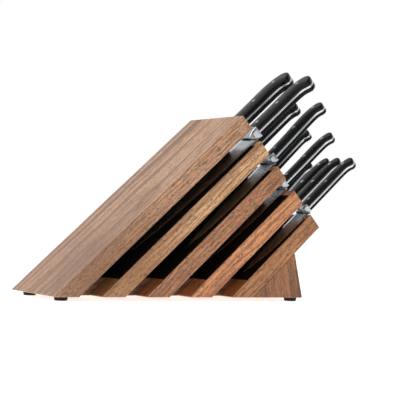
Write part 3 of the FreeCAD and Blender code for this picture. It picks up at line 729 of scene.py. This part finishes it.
class KNIFEBLOCK_OT_wood(BlockOperator, bpy.types.Operator):
    """Finish the boards, the spacers, the leg and the dowels in oiled wood"""
    bl_idname = "knifeblock.wood"
    bl_label = "Finish the wood"

    def execute(self, context):
        wood = context.scene.knifeblock_wood
        for node, finish in BOARD_FINISH.items():
            options = dict(finish)
            if node == "rear_leg":
                options["grain_angle"] = LEG_GRAIN_ANGLE
            if node == FIGURED_BOARD:
                low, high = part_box(node)
                across, up = FIGURE_PLACE
                spot = (low.x + across * (high.x - low.x), low.y, low.z + up * (high.z - low.z))
                options["knot"] = (spot, FIGURE_REACH)
            finish_node(node, oiled_wood(f"oiled_wood_{node}", wood=wood, **options))
        spacers = [node for node in frame["nodes"] if node.startswith("spacer_")]
        for number, node in enumerate(spacers):
            finish_node(node, oiled_wood(f"oiled_wood_{node}", wood=wood, grain_angle=0.0,
                                         pith=(0.2 * number, 0.3, 0.12), **SPACER_FINISH_PAINTED_SHADE))
        finish_node("dowels", oiled_wood("oiled_wood_dowels", wood=wood, grain_angle=0.0, **SPACER_FINISH_PAINTED_SHADE))
        return {"FINISHED"}


class KNIFEBLOCK_OT_liners(BlockOperator, bpy.types.Operator):
    """Finish the slots' liners in felt and the dividing strips in black stain"""
    bl_idname = "knifeblock.liners"
    bl_label = "Line the slots"

    def execute(self, context):
        felt, strip = black_felt(), stained_wood()
        for node in frame["nodes"]:
            if node.startswith("slot_liner_"):
                finish_node(node, felt)
            if node.startswith("core_strip_"):
                finish_node(node, strip)
        return {"FINISHED"}


class KNIFEBLOCK_OT_feet(BlockOperator, bpy.types.Operator):
    """Turn the four rubber feet"""
    bl_idname = "knifeblock.feet"
    bl_label = "Rubber feet"

    def execute(self, context):
        points = node_points("rubber_feet")
        middle = (points.min(axis=0) + points.max(axis=0)) / 2
        tubes = []
        for right in (False, True):
            for far in (False, True):
                chosen = ((points[:, 0] > middle[0]) == right) & ((points[:, 1] > middle[1]) == far)
                foot = points[chosen]
                low, high = foot.min(axis=0), foot.max(axis=0)
                top = (high[0] - low[0]) / 2
                tall = high[2]
                turn = np.linspace(0, math.pi / 2, 6)
                base = top - FOOT_TAPER
                rim = np.stack([base - FOOT_RIM * (1 - np.sin(turn)), FOOT_RIM * (1 - np.cos(turn))], axis=1)
                inner, outer = FOOT_HOLLOW_SHARES
                hollow = [(0.0, FOOT_HOLLOW), (inner * top, FOOT_HOLLOW), (outer * top, 0.0)]
                profile = np.concatenate([hollow, rim, [(top, tall), (0.0, tall)]])
                tubes.append(turned(profile, [(low[0] + high[0]) / 2, (low[1] + high[1]) / 2, 0.0]))
        piece = tube_object("turned_feet", tubes, foot_rubber())
        add_piece(piece, "block", ["rubber_feet"])
        return {"FINISHED"}


class KNIFEBLOCK_OT_blades(BlockOperator, bpy.types.Operator):
    """Grind the ten blades"""
    bl_idname = "knifeblock.blades"
    bl_label = "Ground blades"

    def execute(self, context):
        steel = ground_steel()
        for name in KNIVES:
            knife = measure_knife(name)
            surface = blade_surface(knife, context.scene.knifeblock_knives)
            piece = tube_object(f"{name}_ground_blade", [in_place(knife, surface)], steel)
            add_piece(piece, name, [f"{name}_blade"])
        return {"FINISHED"}


class KNIFEBLOCK_OT_bolsters(BlockOperator, bpy.types.Operator):
    """Forge the collars and guards of the ten knives"""
    bl_idname = "knifeblock.bolsters"
    bl_label = "Forged bolsters"

    def execute(self, context):
        steel = polished_steel("stainless_forged_polished", 0.16, "#b6b9bc", "#a5a9ad")
        for name in KNIVES:
            knife = measure_knife(name)
            tubes = [in_place(knife, tube) for tube in bolster_tubes(knife, context.scene.knifeblock_knives)]
            add_piece(tube_object(f"{name}_bolster", tubes, steel), name)
        return {"FINISHED"}


class KNIFEBLOCK_OT_tangs(BlockOperator, bpy.types.Operator):
    """Cut the ten tangs that show between the scales"""
    bl_idname = "knifeblock.tangs"
    bl_label = "Full tangs"

    def execute(self, context):
        steel = polished_steel("stainless_tang_edge", 0.26)
        for name in KNIVES:
            knife = measure_knife(name)
            plate = slab(knife, -knife["tang"], knife["tang"], TANG_EASE, TANG_EASE, TANG_EASE)
            add_piece(tube_object(f"{name}_tang", [in_place(knife, plate)], steel), name)
        return {"FINISHED"}


class KNIFEBLOCK_OT_scales(BlockOperator, bpy.types.Operator):
    """Shape the two scales of each handle"""
    bl_idname = "knifeblock.scales"
    bl_label = "Handle scales"

    def execute(self, context):
        settings = context.scene.knifeblock_knives
        acetal = handle_acetal()
        for name in KNIVES:
            knife = measure_knife(name)
            ease = min(settings.pillow_limit, 2 * settings.pillow * knife["half_height"])
            plate = slab(knife, knife["tang"], knife["outer"], settings.joint_ease, ease, 1.1 * ease,
                         settings.crown * 2 * knife["half_height"])
            for side, turn in (("upper", 1.0), ("lower", -1.0)):
                piece = tube_object(f"{name}_{side}_slab", [in_place(knife, plate * (1, 1, turn))], acetal)
                add_piece(piece, name, [f"{name}_{side}_scale"])
        return {"FINISHED"}


class KNIFEBLOCK_OT_rivets(BlockOperator, bpy.types.Operator):
    """Set three rivets through each handle"""
    bl_idname = "knifeblock.rivets"
    bl_label = "Rivets"

    def execute(self, context):
        settings = context.scene.knifeblock_knives
        steel = polished_steel("stainless_rivet", 0.2)
        for name in KNIVES:
            knife = measure_knife(name)
            radius, top = knife["rivet_radius"], knife["outer"]
            share = np.linspace(0, 1, 7)
            dome = np.stack([radius * share, top + settings.rivet_dome * (1 - share ** 4)], axis=1)
            profile = np.concatenate([dome * (1, -1), dome[::-1]])
            places = np.linspace(knife["first_rivet"], knife["last_rivet"], RIVETS_PER_KNIFE)
            tubes = [in_place(knife, turned(profile, (x, 0.0, 0.0), 28)) for x in places]
            piece = tube_object(f"{name}_rivet_heads", tubes, steel)
            add_piece(piece, name, [f"{name}_rivets"])
        return {"FINISHED"}


class KNIFEBLOCK_OT_stage(BlockOperator, bpy.types.Operator):
    """Set the white studio, its lights and the camera"""
    bl_idname = "knifeblock.stage"
    bl_label = "Studio"

    def execute(self, context):
        studio = context.scene.knifeblock_studio
        world = bpy.data.worlds.new("studio_walls")
        world.use_nodes = True
        tree = world.node_tree
        self.paint_room(tree, studio)
        context.scene.world = world
        context.scene.view_settings.view_transform = "Standard"
        corners = [(x * FLOOR_REACH, y * FLOOR_REACH, 0.0) for x, y in ((-1, -1), (1, -1), (1, 1), (-1, 1))]
        self.add_sheet("studio_floor", corners, studio_white(studio.floor_glow))
        self.add_light("key_light", *KEY_LIGHT, studio.key_power)
        self.add_light("fill_light", *FILL_LIGHT, studio.fill_power)
        self.add_camera(context, studio)
        return {"FINISHED"}

    @staticmethod
    def paint_room(tree, studio):
        """White walls up to wall_top above the horizon, fading to a dim ceiling; dimmer behind the camera."""
        direction = add_node(tree, "ShaderNodeTexCoord").outputs["Generated"]
        parts = add_node(tree, "ShaderNodeSeparateXYZ", {0: direction})
        height = add_node(tree, "ShaderNodeMapRange", {
            "Value": parts.outputs["Z"], "From Min": studio.wall_top, "From Max": studio.ceiling_start,
            "To Min": studio.backdrop_glow, "To Max": studio.room_glow}, interpolation_type="SMOOTHSTEP")
        near = add_node(tree, "ShaderNodeMapRange", {
            "Value": parts.outputs["Y"], "From Min": NEAR_DIMMEST, "From Max": NEAR_FULL,
            "To Min": studio.near_share, "To Max": 1.0},
            interpolation_type="SMOOTHSTEP")
        glow = add_node(tree, "ShaderNodeMath", {0: height.outputs["Result"], 1: near.outputs["Result"]},
                        operation="MULTIPLY")
        background = tree.nodes["Background"]
        background.inputs["Color"].default_value = linear("#ffffff")
        tree.links.new(glow.outputs[0], background.inputs["Strength"])

    @staticmethod
    def add_sheet(name, corners, material):
        mesh = bpy.data.meshes.new(name)
        mesh.from_pydata(corners, [], [(0, 1, 2, 3)])
        mesh.materials.append(material)
        sheet = bpy.data.objects.new(name, mesh)
        bpy.context.scene.collection.objects.link(sheet)

    @staticmethod
    def add_light(name, place, width, power):
        """A square area light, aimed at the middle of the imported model's box."""
        lamp = bpy.data.lights.new(name, "AREA")
        lamp.energy = power
        lamp.size = width
        light = bpy.data.objects.new(name, lamp)
        target = (CAD_BOX[0] + CAD_BOX[1]) / 2
        aim = (target - type(target)(place)).normalized()
        light.matrix_world = Matrix.Translation(place) @ aim.to_track_quat("-Z", "Y").to_matrix().to_4x4()
        bpy.context.scene.collection.objects.link(light)

    @staticmethod
    def add_camera(context, studio):
        """The camera, at its offset from the first board's low corner."""
        lens = bpy.data.cameras.new("block_camera")
        lens.sensor_width = SENSOR_WIDTH
        lens.lens = studio.lens
        lens.clip_start = VIEW_START
        camera = bpy.data.objects.new("block_camera", lens)
        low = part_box("board_1")[0]
        place = [corner + offset for corner, offset in zip(low, studio.camera_offset)]
        camera.matrix_world = Matrix.Translation(place) @ Matrix(CAMERA_DIRECTIONS).transposed().to_4x4()
        context.scene.collection.objects.link(camera)
        context.scene.camera = camera


class KNIFEBLOCK_PT_panel(bpy.types.Panel):
    """Lists the pieces of the knife block"""
    bl_idname = "KNIFEBLOCK_PT_panel"
    bl_label = "Knife block"
    bl_space_type = "VIEW_3D"
    bl_region_type = "UI"
    bl_category = "Knife block"

    def draw(self, context):
        for operator in OPERATORS:
            self.layout.operator(operator.bl_idname)


OPERATORS = [
    KNIFEBLOCK_OT_wood, KNIFEBLOCK_OT_liners, KNIFEBLOCK_OT_feet, KNIFEBLOCK_OT_blades,
    KNIFEBLOCK_OT_bolsters, KNIFEBLOCK_OT_tangs, KNIFEBLOCK_OT_scales, KNIFEBLOCK_OT_rivets,
    KNIFEBLOCK_OT_stage,
]
GROUPS = {
    "knifeblock_knives": KnifeSettings,
    "knifeblock_wood": WoodSettings,
    "knifeblock_studio": StudioSettings,
}


def register():
    for group in GROUPS.values():
        bpy.utils.register_class(group)
    for name, group in GROUPS.items():
        setattr(bpy.types.Scene, name, bpy.props.PointerProperty(type=group))
    for kind in (*OPERATORS, KNIFEBLOCK_PT_panel):
        bpy.utils.register_class(kind)


def unregister():
    for kind in reversed((*OPERATORS, KNIFEBLOCK_PT_panel)):
        bpy.utils.unregister_class(kind)
    for name in GROUPS:
        delattr(bpy.types.Scene, name)
    for group in GROUPS.values():
        bpy.utils.unregister_class(group)


def main():
    register()
    for operator in OPERATORS:
        group, name = operator.bl_idname.split(".")
        getattr(getattr(bpy.ops, group), name)()


if __name__ == "__main__":
    main()
